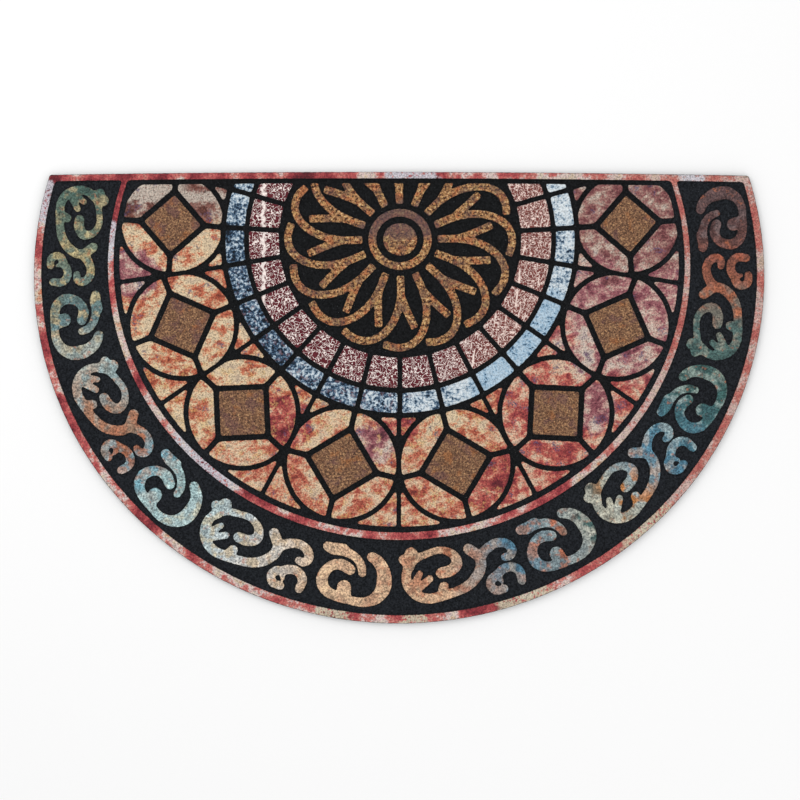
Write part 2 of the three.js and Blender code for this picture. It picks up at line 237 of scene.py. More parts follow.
def bluntTips(loop, narrowest):
    # flock doesn't hold on a thin tip, so each sharp tip ends where it is as wide as narrowest
    loop = evened(loop, tipSearch["pitch"])
    count = len(loop)
    back, ahead = (np.roll(loop, shift, axis=0) - loop for shift in (tipSearch["arm"], -tipSearch["arm"]))
    lengths = np.linalg.norm(back, axis=1) * np.linalg.norm(ahead, axis=1)
    sharpness = np.sum(back * ahead, axis=1) / np.maximum(lengths, 1e-6)

    def width(tip, reach):
        return np.linalg.norm(loop[tip - reach] - loop[(tip + reach) % count])

    gone = set()
    for tip in np.flatnonzero(sharpness > tipSearch["sharp"]):
        reach = 1
        while reach < count // 4 and width(tip, reach) < narrowest:
            reach += 1
        gone.update((tip + i) % count for i in range(1 - reach, reach))
    return loop[[i for i in range(count) if i not in gone]]


ragWave = {"size": 3.1, "level": 4.7}  # mm between the waves of an uneven edge, and their place in the noise


def softenLoop(loop, pitch, passes, ragged, narrowest, grow):
    if narrowest:
        loop = bluntTips(loop, narrowest)
    even = relaxed(evened(loop, pitch), passes)
    wobble = [noise.noise((x / ragWave["size"], y / ragWave["size"], ragWave["level"])) for x, y in even]
    return even + leftward(even) * (ragged * np.array(wobble) - grow)[:, None]


# Raised part: the loops as a closed solid with a straight wall and a rounded, flocked shoulder.
shoulder = [(0, -1.15), (0.22, -0.62), (0.62, -0.24), (1.15, -0.05), (1.7, 0)]  # inwards and down, mm


def fillLoops(loops):
    mesh = bpy.data.meshes.new("faces")
    points = [(x * mm, y * mm, 0) for loop in loops for x, y in loop]
    edges = []
    first = 0
    for loop in loops:
        edges += [(first + i, first + (i + 1) % len(loop)) for i in range(len(loop))]
        first += len(loop)
    mesh.from_pydata(points, edges, [])
    flat = addObject("faces", mesh)
    pick([flat])
    bpy.ops.object.mode_set(mode="EDIT")
    bpy.ops.mesh.select_all(action="SELECT")
    bpy.ops.mesh.fill(use_beauty=True)
    bpy.ops.object.mode_set(mode="OBJECT")
    faces = []
    for face in flat.data.polygons:
        corners = list(face.vertices)
        faces.append(corners if face.normal.z > 0 else corners[::-1])
    bpy.data.objects.remove(flat)
    return faces


def shoulderLevels(loops, low, top):
    # the loops at the foot, and again at each step of the shoulder, with their heights
    levels = [(loops, low)]
    rings = loops
    gone = 0
    for inwards, down in shoulder:
        step = inwards - gone
        gone = inwards
        rings = [relaxed(ring + leftward(ring) * step, 1 if step else 0) for ring in rings]
        levels.append((rings, top + down))
    return levels


def wallFaces(loops, levelCount):
    # faces from each level to the next, round every loop
    count = sum(len(loop) for loop in loops)
    faces = []
    for level in range(levelCount - 1):
        under = level * count
        over = under + count
        first = 0
        for loop in loops:
            size = len(loop)
            for i in range(size):
                a, b = first + i, first + (i + 1) % size
                faces.append((under + a, under + b, over + b, over + a))
            first += size
    return faces


def raiseLoops(name, loops, low=None, pitch=1.5, passes=2, ragged=0.45, smallest=25, narrowest=0, grow=0.35):
    # pitch is the distance between points, passes how soft the corners get, ragged how uneven the edge is,
    # smallest the least area, and the loops grow by as much as their frayed, dark rims hide
    low = groundHeight - rug["sunk"] if low is None else low
    loops = [
        softenLoop(loop, pitch, passes, ragged, narrowest, grow)
        for loop in loops
        if abs(enclosedArea(loop)) > smallest
    ]
    caps = fillLoops(loops)
    levels = shoulderLevels(loops, low, rug["thickness"])
    points = []
    for rings, height in levels:
        points += [(x * mm, y * mm, height * mm) for ring in rings for x, y in ring]
    last = len(points) - sum(len(loop) for loop in loops)
    faces = [tuple(face[::-1]) for face in caps] + wallFaces(loops, len(levels))
    faces += [tuple(last + v for v in face) for face in caps]
    mesh = bpy.data.meshes.new(name)
    mesh.from_pydata(points, [], faces)
    piece = addObject(name, mesh)
    markIslands(piece)
    pick([piece])
    bpy.ops.object.shade_smooth_by_angle(angle=math.radians(50))
    return piece


goldenStep = 0.618034  # spreads the islands' numbers between 0 and 1


def markIslands(piece):
    # each separate tile or scroll gets a number of its own, which shifts its marbling
    mesh = piece.data
    parent = list(range(len(mesh.vertices)))

    def root(v):
        while parent[v] != v:
            parent[v] = parent[parent[v]]
            v = parent[v]
        return v

    for edge in mesh.edges:
        a, b = (root(v) for v in edge.vertices)
        if a != b:
            parent[max(a, b)] = min(a, b)
    number = {}
    values = []
    for v in range(len(mesh.vertices)):
        values.append(number.setdefault(root(v), (len(number) * goldenStep) % 1))
    mark = mesh.attributes.new("island", "FLOAT", "POINT")
    mark.data.foreach_set("value", values)


# Strokes: ribs and scrolls are drawn as tubes along a smooth line, melted together and sliced flat.
def smoothLine(knots, perGap):
    # a curve through all the knots that doesn't swing out where they are close together
    knots = [np.array(knot, float) for knot in knots]
    ends = [2 * knots[0] - knots[1], *knots, 2 * knots[-1] - knots[-2]]
    line = [knots[0]]
    for i in range(len(knots) - 1):
        a, b, c, d = ends[i : i + 4]
        ab, bc, cd = (math.sqrt(np.linalg.norm(q - p)) for p, q in ((a, b), (b, c), (c, d)))
        leave = ((b - a) / ab - (c - a) / (ab + bc) + (c - b) / bc) * bc
        arrive = ((c - b) / bc - (d - b) / (bc + cd) + (d - c) / cd) * bc
        for step in range(1, perGap + 1):
            t = step / perGap
            line.append(
                (2 * t**3 - 3 * t**2 + 1) * b
                + (t**3 - 2 * t**2 + t) * leave
                + (3 * t**2 - 2 * t**3) * c
                + (t**3 - t**2) * arrive
            )
    return line


def strokeTube(knots, roundEnds, perGap=5):
    # knots hold x, y and the stroke's width
    line = smoothLine(knots, perGap)
    path = bpy.data.curves.new("stroke", "CURVE")
    path.dimensions = "3D"
    path.bevel_depth = 1
    path.bevel_resolution = 5
    path.use_fill_caps = True
    spline = path.splines.new("POLY")
    spline.points.add(len(line) - 1)
    for point, (x, y, width) in zip(spline.points, line):
        point.co = (x * mm, y * mm, 0, 1)
        point.radius = width / 2 * mm
    tube = addObject("stroke", path)
    pick([tube])
    bpy.ops.object.convert(target="MESH")
    tubes = [bpy.context.object]
    if roundEnds:
        for x, y, width in (line[0], line[-1]):
            clearSelection()
            bpy.ops.mesh.primitive_uv_sphere_add(
                segments=24, ring_count=12, radius=width / 2 * mm, location=(x * mm, y * mm, 0)
            )
            tubes.append(setDown(bpy.context.object))
    return tubes


def meltAndSlice(tubes, voxel=0.8, top=None):
    # top is a line across the rug, past which the strokes are cut off
    piece = joinPieces(tubes)
    pick([piece])
    bpy.ops.object.mode_set(mode="EDIT")
    bpy.ops.mesh.select_all(action="SELECT")
    bpy.ops.transform.resize(value=(1, 1, 0.5), center_override=(0, 0, 0))
    bpy.ops.object.mode_set(mode="OBJECT")
    piece.data.remesh_voxel_size = voxel * mm
    bpy.ops.object.voxel_remesh()
    bpy.ops.object.mode_set(mode="EDIT")
    if top is not None:
        bpy.ops.mesh.select_all(action="SELECT")
        bpy.ops.mesh.bisect(
            plane_co=(0, top * mm, 0), plane_no=(0, 1, 0), clear_outer=True, use_fill=True, threshold=1e-7
        )
    bpy.ops.mesh.select_all(action="SELECT")
    cutPoint = (0, 0, 0.23 * voxel * mm)  # a little off the middle, where no point of the mesh lies
    bpy.ops.mesh.bisect(
        plane_co=cutPoint, plane_no=(0, 0, 1), clear_inner=True, clear_outer=True, threshold=1e-7
    )
    bpy.ops.mesh.select_all(action="SELECT")
    bpy.ops.mesh.remove_doubles(threshold=0.005 * mm)
    bpy.ops.object.mode_set(mode="OBJECT")
    loops = chainedLoops(piece.data)
    bpy.data.objects.remove(piece)
    return loops


def chainedLoops(mesh):
    # the cut's edges as loops, largest first: it runs to the left round its inside, and a hole the other way
    beside = {}
    for edge in mesh.edges:
        a, b = edge.vertices
        beside.setdefault(a, []).append(b)
        beside.setdefault(b, []).append(a)
    loops = []
    while beside:
        at = min(beside, key=lambda v: tuple(mesh.vertices[v].co))
        loop = []
        while at in beside:
            loop.append(at)
            onward = [v for v in beside.pop(at) if v in beside]
            if not onward:
                break
            at = onward[0]
        if len(loop) > 8:
            loops.append(np.array([mesh.vertices[v].co[:2] for v in loop]) / mm)
    loops.sort(key=lambda loop: -abs(enclosedArea(loop)))
    turned = []
    for i, loop in enumerate(loops):
        wanted = -1 if any(inside(loop[0], other) for other in loops[:i]) else 1
        turned.append(loop if enclosedArea(loop) * wanted > 0 else np.roll(loop[::-1], 1, axis=0))
    return turned


def inside(point, loop):
    x, y = point
    ahead = np.roll(loop, -1, axis=0)
    crosses = (loop[:, 1] > y) != (ahead[:, 1] > y)
    rise = np.where(crosses, ahead[:, 1] - loop[:, 1], 1)
    at = loop[:, 0] + (y - loop[:, 1]) / rise * (ahead[:, 0] - loop[:, 0])
    return bool(np.count_nonzero(crosses & (at > x)) % 2)


def pointBelow(centre, distance, below):
    # a distance from a centre, at an angle below the horizontal
    turn = math.radians(below)
    return (centre[0] + distance * math.cos(turn), centre[1] - distance * math.sin(turn))


# Slab: black moulded rubber under everything, with its ground left bare between the raised parts.
slabSizes = {"inset": 0.5, "steps": 420, "bottomRound": 0.7}


def makeSlab():
    outline = dict(ovals["outline"])
    outline["rx"] -= slabSizes["inset"]
    outline["ry"] -= slabSizes["inset"]
    piece = halfRound(outline, halfDepth - slabSizes["inset"], (0, groundHeight), slabSizes["steps"])
    piece.name = "slab"
    for edge in piece.data.edges:
        edge.select = all(piece.data.vertices[v].co.z < 0.1 * mm for v in edge.vertices)
    pick([piece])
    bevel = piece.modifiers.new("foot", "BEVEL")
    bevel.width = slabSizes["bottomRound"] * mm
    bevel.segments = 3
    bevel.limit_method = "ANGLE"
    bevel.angle_limit = math.radians(60)
    bpy.ops.object.modifier_apply(modifier="foot")
    bpy.ops.object.shade_smooth_by_angle(angle=math.radians(30))
    return piece


# Edging: the raised band round the whole mat, and the thin line that runs from it round the tiles.
edging = {"steps": 420, "pitch": 2.4, "foot": 0.3}


def makeEdging():
    band = halfRound(ovals["outline"], halfDepth, stock, edging["steps"])
    carve(band, [halfRound(ovals["band"], halfDepth - rug["topBand"], saw, edging["steps"])])
    line = halfRound(ovals["lineOuter"], halfDepth - rug["topBand"] + 1, stock, edging["steps"])
    carve(line, [ovalBlank(ovals["lineInner"], saw, edging["steps"])])
    carve(band, [line], "UNION")
    loops = rimLoops(band)
    return raiseLoops("edging", loops, edging["foot"], edging["pitch"], passes=1, ragged=0.3, grow=0)


# Rosette: a disc and ring at the hub, and sixteen ribs that leave it, fork once and curl over.
rosette = {
    "ribs": 16,
    "ribWidth": 10.8,
    "flatten": 0.965,
    "disc": 23,
    "ring": (32, 43),
    "first": 89.25,        # degrees below the horizontal
    "stemAndArc": [(0, 51), (0, 78), (4, 100), (14, 121), (29, 136), (46, 142), (64, 138), (79, 126)],
    "fork": [(0, 78), (-8, 100), (-19, 125)],
    "crest": (77, 3.5),    # so far above the hub, the ribs are pressed down by so much
}


def ribKnots(rows, below):
    turn = math.radians(below)
    above, lowered = rosette["crest"]
    knots = []
    for side, out in rows:
        x = out * math.cos(turn) - side * math.sin(turn)
        drop = out * math.sin(turn) + side * math.cos(turn)
        pressed = lowered * (max(0, -drop) / above) ** 3
        knots.append((hub["x"] + x, hub["y"] - drop * rosette["flatten"] - pressed, rosette["ribWidth"]))
    return knots


def makeRosette():
    loops = []
    for rib in range(rosette["ribs"]):
        below = rosette["first"] + 360 * rib / rosette["ribs"]
        tubes = strokeTube(ribKnots(rosette["stemAndArc"], below), False)
        tubes += strokeTube(ribKnots(rosette["fork"], below), False)
        loops += meltAndSlice(tubes, top=tileTop)
    well, rim, disc = (
        {**hub, "rx": radius, "ry": radius * rosette["flatten"]}
        for radius in (*rosette["ring"], rosette["disc"])
    )
    ring = carve(ovalBlank(rim, stock, 128), [ovalBlank(well, saw, 128)])
    for blank in (ring, ovalBlank(disc, stock, 128)):
        loops += rimLoops(blank)
    return raiseLoops("rosette", loops, pitch=1.3)


# Blocks: two rings of them round the rosette, parted by the same joints.
blocks = {
    "perTurn": 27,
    "joint": 6.4,
    "flatten": 0.945,
    "fanRise": 3,        # the joints fan out from a point a little above the hub
    "spare": (12, 8),    # how far they are sawn past the rings, inwards and outwards
    "inner": ({"rx": 164, "ry": 160}, {"rx": 205, "ry": 201.3}),
    "outer": ({"rx": 211.3, "ry": 208}, {"rx": 236.7, "ry": 235.3}),
}


def makeBlocks(name, which):
    inner, outer = ({**hub, **oval} for oval in blocks[which])
    ring = ovalBlank(outer, stock)
    inwards, outwards = blocks["spare"]
    reach = (blocks["inner"][0]["ry"] - inwards, blocks["outer"][1]["rx"] + outwards)
    joints = []
    for i in range(blocks["perTurn"]):
        even = math.pi / 2 + 2 * math.pi * i / blocks["perTurn"]
        below = math.degrees(math.atan2(blocks["flatten"] * math.sin(even), math.cos(even)))
        centre = pointBelow((hub["x"], hub["y"] + blocks["fanRise"]), sum(reach) / 2, below)
        joints.append(barBlank(centre, reach[1] - reach[0], blocks["joint"], -below, saw))
    carve(ring, [ovalBlank(inner, saw)])
    carve(ring, joints)
    carve(ring, [bowedBlank(tileTop, saw)], "INTERSECT")
    return raiseLoops(name, rimLoops(ring))


# Tiles: eight circles, each of four lenses round a square on its corner, and the corners left between.
tiles = {
    "centreY": 213.2,
    "spoke": 5.9,     # width of the grooves between two round tiles
    "orbit": 313,     # how far out the middles of those grooves lie, and how long they are
    "narrowest": 2.8, # the tips end where they are this wide
    "rounds": [
        {"below": -4.2, "orbit": 309.4, "aside": 1.4, "square": 54.7, "rx": 68.8, "ry": 66},
        {"below": 21.4, "orbit": 316.1, "aside": 0.6, "square": 58.3, "rx": 70.2, "ry": 69},
        {"below": 47.7, "orbit": 315.9, "aside": 0, "square": 60.4, "rx": 72.7, "ry": 72.3},
        {"below": 75.7, "orbit": 312.9, "aside": -0.2, "square": 62, "rx": 74.1, "ry": 74.3},
    ],
}


def roundTiles():
    # the right four from the top down, then the left four
    found = []
    for left in (False, True):
        for tile in tiles["rounds"]:
            below = 180 - tile["below"] if left else tile["below"]
            x, y = pointBelow((tile["aside"], tiles["centreY"]), tile["orbit"], below)
            found.append({**tile, "x": x, "y": y, "below": below})
    return found


def tileField():
    line = ovals["lineInner"]
    outer = {"y": line["y"], "rx": line["rx"] - rug["groove"], "ry": line["ry"] - rug["groove"]}
    field = halfRound(outer, tileTop, stock)
    return carve(field, [ovalBlank({**hub, **blocks["outer"][1]}, saw, grow=rug["rimGroove"])])


def spokeSaws():
    angles = [tile["below"] for tile in tiles["rounds"]]
    angles = [2 * angles[0] - angles[1], *angles, 180 - angles[-1]]
    saws = []
    for a, b in zip(angles, angles[1:]):
        for below in {round((a + b) / 2, 4), round(180 - (a + b) / 2, 4)}:
            centre = pointBelow((0, tiles["centreY"]), tiles["orbit"], below)
            saws.append(barBlank(centre, tiles["orbit"], tiles["spoke"], -below, saw))
    return saws


def acrossSaw(tile, turn):
    # a groove right across a round tile
    return barBlank((tile["x"], tile["y"]), 2 * tile["rx"] + 2, rug["groove"], turn - tile["below"], saw)


def makeStoneTiles():
    found = roundTiles()
    corners = tileField()
    for every in (found[0::2], found[1:7:2], found[7:]):
        carve(corners, [ovalBlank(tile, saw, 128, rug["rimGroove"]) for tile in every])
    lenses = joinPieces([ovalBlank(tile, stock, 128) for tile in found])
    carve(lenses, [squareBlank(tile, 2 * rug["groove"], saw) for tile in found])
    for turn in (0, 90):
        carve(lenses, [acrossSaw(tile, turn) for tile in found])
    carve(lenses, [tileField()], "INTERSECT")
    both = joinPieces([corners, lenses])
    carve(both, spokeSaws())
    loops = rimLoops(both)
    return raiseLoops("stone_tiles", loops, pitch=1.6, ragged=0.5, smallest=60, narrowest=tiles["narrowest"])


def squareBlank(tile, grow, reach):
    side = tile["square"] + grow
    return barBlank((tile["x"], tile["y"]), side, side, 45 - tile["below"], reach)


def makeSquares():
    blanks = [squareBlank(tile, 0, stock) for tile in roundTiles()]
    squares = carve(joinPieces(blanks), [bowedBlank(tileTop, saw)], "INTERSECT")
    return raiseLoops("squares", rimLoops(squares), pitch=1.6, ragged=0.3)


# Scrolls of the border. Each row is: along the border, outwards, width of the stroke.
scrolls = {
    "shrinkAlong": 0.14,   # how much smaller they are at the straight edge
    "shrinkAcross": 0.1,
    # kind, degrees round from the left horizontal, and how much further out it lies
    "stations": [
        ("tailed", -10.9, 0), ("open", 9.9, 0), ("tailed", 23.2, 0.7), ("open", 45.2, 1),
        ("tailed", 59, 1.7), ("open", 81.8, -0.5), ("tailed", 96.1, 0), ("open", 119, -1),
        ("tailed", 133.2, -0.5), ("open", 155.2, -0.6), ("tailed", 168.5, 1), ("open", 189.2, 1),
    ],
    "tailed": [
        [
            [(12, -3, 15), (25, -5, 16), (35, -14, 15), (30, -27, 12), (14, -34, 10), (-4, -31, 10),
             (-22, -24, 11), (-34, -10, 13), (-35, 7, 14), (-25, 23, 14), (-8, 30, 14), (12, 28, 14)],
            [(8, 29, 13), (30, 24, 13), (46, 18, 14), (60, 6, 15), (67, -9, 15), (66, -22, 14)],
            [(66, -20, 15), (52, -32, 15)],
            [(66, -18, 15), (76, -29, 14), (90, -36, 13), (104, -34, 13), (111, -25, 13), (107, -17, 12),
             (100, -16, 11)],
            [(-31, -16, 16), (-26, -33, 18)],
            [(-31, -20, 13), (-37, -26, 14)],
            [(-29, 15, 12), (-17, -5, 9)],
            [(-25, 18, 12), (-4, 3, 10)],
            [(11, 27, 15), (14, 16, 14)],
        ],
        [
            [(95, 26.5, 12), (84, 28, 12), (77, 21, 12), (79, 12.5, 13), (87, 7.5, 13), (96, 0, 13),
             (108, -2, 13), (118, 4.5, 13), (120, 18, 12)],
            [(88, 8.5, 8), (93, 16.5, 6)],
        ],
    ],
    "open": [
        [
            [(-3, -6, 15), (-14, -11, 16), (-27, -9, 14), (-37, 2, 15), (-39, 14, 16), (-32, 26, 15),
             (-18, 32, 14), (0, 35, 12), (18, 36, 13), (34, 30, 16), (44, 17, 20), (45, 2, 21),
             (41, -12, 18), (33, -22, 16), (24, -27, 14)],
            [(-6, 32, 18), (-8, 19, 20)],
        ],
        [
            [(-37, -33, 14), (-27, -31, 17), (-16, -32, 16)],
            [(-22, -30, 13), (-8, -28, 13), (4, -22, 12), (12, -12, 12), (14, -3, 11)],
        ],
    ],
}


def scrollKnots(rows, angle, further):
    oval = ovals["scroll"]
    turn = math.radians(180 + angle)
    at = np.array((oval["x"] + oval["rx"] * math.cos(turn), oval["y"] + oval["ry"] * math.sin(turn)))
    outward = np.array((math.cos(turn) / oval["rx"], math.sin(turn) / oval["ry"]))
    outward /= np.linalg.norm(outward)
    onward = np.array((-outward[1], outward[0]))
    towardsTop = 1 - math.sin(math.radians(angle))
    alongScale = 1 - scrolls["shrinkAlong"] * towardsTop
    acrossScale = 1 - scrolls["shrinkAcross"] * towardsTop
    knots = []
    for along, out, width in rows:
        x, y = at + onward * along * alongScale + outward * (further + out * acrossScale)
        knots.append((x, y, width * acrossScale))
    return knots


def makeScrolls():
    loops = []
    for kind, angle, further in scrolls["stations"]:
        for shape in scrolls[kind]:
            tubes = []
            for rows in shape:
                tubes += strokeTube(scrollKnots(rows, angle, further), True)
            loops += meltAndSlice(tubes)
    return raiseLoops("scrolls", loops, pitch=1.3)


slab = makeSlab()
print("slab made")
edgingPiece = makeEdging()
print("edging made")
stoneTiles = makeStoneTiles()
squares = makeSquares()
print("tiles made")
innerBlocks = makeBlocks("inner_blocks", "inner")
outerBlocks = makeBlocks("outer_blocks", "outer")
print("blocks made")
rosettePiece = makeRosette()
print("rosette made")
scrollPiece = makeScrolls()
print("scrolls made")


# Materials. Colours are given as they look, 0 to 255. A Wire is one socket and the maths done on it.
def shade(red, green, blue):
    return tuple(
        (c / 255 / 12.92 if c <= 10 else ((c / 255 + 0.055) / 1.055) ** 2.4) for c in (red, green, blue)
    ) + (1,)


class Wire:
    def __init__(self, tree, socket):
        self.tree = tree
        self.socket = socket

    def node(self, kind, settings=None, sockets=None, output=0):
        made = self.tree.nodes.new(kind)
        for key, value in (settings or {}).items():
            if key == "stops":
                ramp = made.color_ramp
                while len(ramp.elements) < len(value):
                    ramp.elements.new(0.5)
                for element, (position, colour) in zip(ramp.elements, value):
                    element.position = position
                    element.color = colour
            else:
                setattr(made, key, value)
        for key, value in (sockets or {}).items():
            if isinstance(value, Wire):
                self.tree.links.new(value.socket, made.inputs[key])
            else:
                made.inputs[key].default_value = value
        return Wire(self.tree, None if output is None else made.outputs[output])

    def maths(self, operation, first, second=0.0):
        return self.node("ShaderNodeMath", {"operation": operation}, {0: first, 1: second})

    def __add__(self, other):
        return self.maths("ADD", self, other)

    def __radd__(self, other):
        return self.maths("ADD", other, self)

    def __sub__(self, other):
        return self.maths("SUBTRACT", self, other)

    def __rsub__(self, other):
        return self.maths("SUBTRACT", other, self)

    def __mul__(self, other):
        return self.maths("MULTIPLY", self, other)

    def __rmul__(self, other):
        return self.maths("MULTIPLY", other, self)

    def __truediv__(self, other):
        return self.maths("DIVIDE", self, other)

    def __abs__(self):
        return self.maths("ABSOLUTE", self)

    def larger(self, other):
        return self.maths("MAXIMUM", self, other)

    def between(self, low, high):
        # 0 below low, 1 above high, and a soft step where they meet
        settings = {"interpolation_type": "SMOOTHSTEP"}
        return self.node("ShaderNodeMapRange", settings, {0: self, 1: low, 2: high, 3: 0.0, 4: 1.0})

    def ramp(self, *stops):
        return self.node("ShaderNodeValToRGB", {"stops": stops}, {0: self})

    def colours(self, first, second, blend="MIX"):
        # first where this is 0, second where it is 1
        settings = {"data_type": "RGBA", "blend_type": blend, "clamp_result": True}
        return self.node("ShaderNodeMix", settings, {0: self, 6: first, 7: second}, 2)


# Single dark and pale fibres, and the rims: how deep the flock frays there and between which depths, in mm,
# the bare wall turns into flock
fibreTints = {"dark": shade(26, 22, 24), "pale": (1.5, 1.44, 1.36, 1)}
rims = {"fray": 1.1, "bare": 0.55, "covered": 0.08}


class Flock:
    # one printed flock finish: where on the rug, the patterns that finishes share, and the shader at the end
    def __init__(self, name):
        self.material = bpy.data.materials.new(name)
        self.material.use_nodes = True
        tree = self.material.node_tree
        tree.nodes.clear()
        start = Wire(tree, None)
        self.start = start
        self.place = start.node("ShaderNodeTexCoord", output=3)
        self.x, self.y, self.z = (
            start.node("ShaderNodeSeparateXYZ", sockets={0: self.place}, output=axis) for axis in range(3)
        )
        self.island = start.node("ShaderNodeAttribute", {"attribute_name": "island"}, output=2)

    def turned(self, angle, stretch, shift=(0, 0, 0)):
        turn = (0, 0, math.radians(angle))
        sockets = {"Vector": self.place, "Location": shift, "Rotation": turn, "Scale": stretch}
        return self.start.node("ShaderNodeMapping", {"vector_type": "TEXTURE"}, sockets)

    def perIsland(self, place, spread):
        # slides the pattern by each tile's own number
        sockets = {0: self.island * spread, 1: self.island * spread * 1.7}
        slide = self.start.node("ShaderNodeCombineXYZ", sockets=sockets)
        return self.start.node("ShaderNodeVectorMath", {"operation": "ADD"}, {0: place, 1: slide})

    def cloud(self, size, detail=2.0, place=None, warp=0.0, rough=0.5):
        # noise whose patches are about so many millimetres across
        return self.noiseAt(place or self.place, 1 / (size * mm), detail, rough, warp)

    def noiseAt(self, place, scale, detail, rough, warp):
        sockets = {"Vector": place, "Scale": scale, "Detail": detail, "Roughness": rough, "Distortion": warp}
        return self.start.node("ShaderNodeTexNoise", {"noise_dimensions": "3D"}, sockets)

    def patches(self, size, low, high, shift=0.0):
        # islands of 1 in 0, about so many millimetres across
        place = self.turned(0, (1, 1, 1), (shift, shift, 0)) if shift else None
        return self.cloud(size, 2.0, place).between(low, high)

    def spots(self, places):
        # 1 near each of the places, which are x, y and reach in metres, and 0 elsewhere
        fray = (self.cloud(14, 3.0) - 0.5) * 0.04
        near = 0.0
        for x, y, reach in places:
            sockets = {0: self.place, 1: (x, y, rug["thickness"] * mm)}
            off = self.start.node("ShaderNodeVectorMath", {"operation": "DISTANCE"}, sockets, 1)
            here = 1 - (off + fray).between(0.8 * reach, 1.05 * reach)
            near = here.larger(near)
        return near

    def fibres(self, colour, depth):
        # the single dark and pale fibres that show between the printed ones
        fibre = self.cloud(2.1, 2.0, rough=0.75)
        colour = ((1 - fibre.between(0.38, 0.52)) * depth).colours(colour, fibreTints["dark"])
        return (fibre.between(0.52, 0.68) * depth).colours(colour, fibreTints["pale"], "MULTIPLY")

    def finish(self, colour, depth=0.5, wall=(11, 13, 16), sheen=0.08):
        top = rug["thickness"] * mm
        if depth:
            fray = (self.cloud(1.7, 2.0) - 0.5) * (rims["fray"] * mm)
            face = (self.z + fray).between(top - rims["bare"] * mm, top - rims["covered"] * mm)
            colour = face.colours(shade(*wall), self.fibres(colour, depth))
        grain = self.cloud(0.9, 2.0)
        swell = self.cloud(5.0, 2.0)
        height = grain * 0.22 + swell * 0.25
        bump = self.start.node("ShaderNodeBump", sockets={"Strength": 0.6, "Distance": mm, "Height": height})
        skin = self.start.node(
            "ShaderNodeBsdfPrincipled",
            sockets={
                "Base Color": colour,
                "Roughness": 0.92,
                "Specular IOR Level": 0.15,
                "Sheen Weight": sheen,
                "Sheen Roughness": 0.6,
                "Normal": bump,
            },
        )
        self.start.node("ShaderNodeOutputMaterial", sockets={"Surface": skin}, output=None)
        return self.material


def bareGround():
    flock = Flock("bareGround")
    tone = flock.cloud(2.4, 3.0, rough=0.75).between(0.34, 0.66) * 0.85 + flock.cloud(40, 2.0) * 0.15
    # outer is the border's ground; inside it the bare ground (deep) is painted darker, as painted shade in
    # the narrow grooves of the tile field, over the rubber's own mottled tone
    outer = (flock.x * flock.x + (flock.y - 0.18) * (flock.y - 0.18)).between(0.1, 0.16)
    deep = tone.colours(shade(3, 4, 5), shade(28, 29, 31))
    border = tone.colours(shade(3, 5, 8), shade(40, 43, 48))
    lint = flock.patches(1.6, 0.69, 0.78) * 0.6
    return flock.finish(lint.colours(outer.colours(deep, border), shade(104, 108, 112)), depth=0, sheen=0.0)


edgingColours = [
    (0.25, shade(96, 34, 42)),
    (0.36, shade(142, 54, 60)),
    (0.46, shade(182, 86, 86)),
    (0.53, shade(198, 124, 114)),
    (0.59, shade(212, 192, 188)),
    (0.66, shade(206, 190, 168)),
    (0.74, shade(196, 120, 90)),
]


# Where the band is worn pale: x, y and reach in metres
blanched = {
    "grey": [
        (0.016, 0.304, 0.04), (-0.478, 0.266, 0.03), (-0.4, 0.21, 0.03), (-0.266, -0.09, 0.06),
        (0.398, 0.307, 0.02),
    ],
    "cream": [(0.343, -0.181, 0.045), (0.17, -0.272, 0.04), (-0.09, -0.292, 0.025), (0.02, -0.302, 0.022)],
}


def edgingPrint():
    flock = Flock("edgingPrint")
    patch = flock.cloud(30, 3.0, rough=0.5)
    mottle = flock.cloud(3.4, 3.0)
    straight = flock.y.between(0.28, 0.3)
    redder = straight * (1 - flock.x.between(-0.08, -0.03)) * 0.07
    calm = 1 - flock.x.between(0.22, 0.42) * 0.5
    value = 0.5 + (patch - 0.5) * calm - redder + flock.x.between(0.1, 0.4) * 0.05 + (mottle - 0.5) * 0.26
    colour = value.ramp(*edgingColours)
    colour = (flock.x.between(0.2, 0.4) * 0.35).colours(colour, shade(160, 108, 94))
    grey = flock.spots(blanched["grey"]) * mottle.between(0.34, 0.48)
    colour = (grey * 0.9).colours(colour, shade(200, 198, 206))
    cream = flock.spots(blanched["cream"]) * mottle.between(0.36, 0.5)
    colour = (cream * 0.85).colours(colour, shade(198, 190, 166))
    return flock.finish(colour, 0.5)


# The marbled lenses and corners: four palettes, from red through cream, by where they lie on the rug
stoneColours = {
    "warm": [
        (0.25, shade(112, 54, 44)), (0.36, shade(168, 84, 62)), (0.43, shade(194, 114, 86)),
        (0.49, shade(206, 160, 126)), (0.57, shade(220, 198, 164)), (0.76, shade(188, 166, 144)),
    ],
    "coral": [
        (0.25, shade(98, 36, 44)), (0.36, shade(146, 60, 62)), (0.46, shade(182, 92, 82)),
        (0.53, shade(202, 138, 116)), (0.62, shade(216, 190, 164)), (0.78, shade(160, 96, 96)),
    ],
    "mauve": [
        (0.25, shade(82, 42, 52)), (0.36, shade(126, 68, 78)), (0.46, shade(160, 104, 108)),
        (0.54, shade(188, 150, 140)), (0.64, shade(210, 194, 180)), (0.77, shade(116, 92, 112)),
    ],
    "dusk": [
        (0.25, shade(46, 28, 28)), (0.38, shade(90, 52, 44)), (0.48, shade(122, 80, 72)),
        (0.56, shade(144, 108, 98)), (0.66, shade(192, 176, 162)), (0.78, shade(122, 90, 88)),
    ],
}
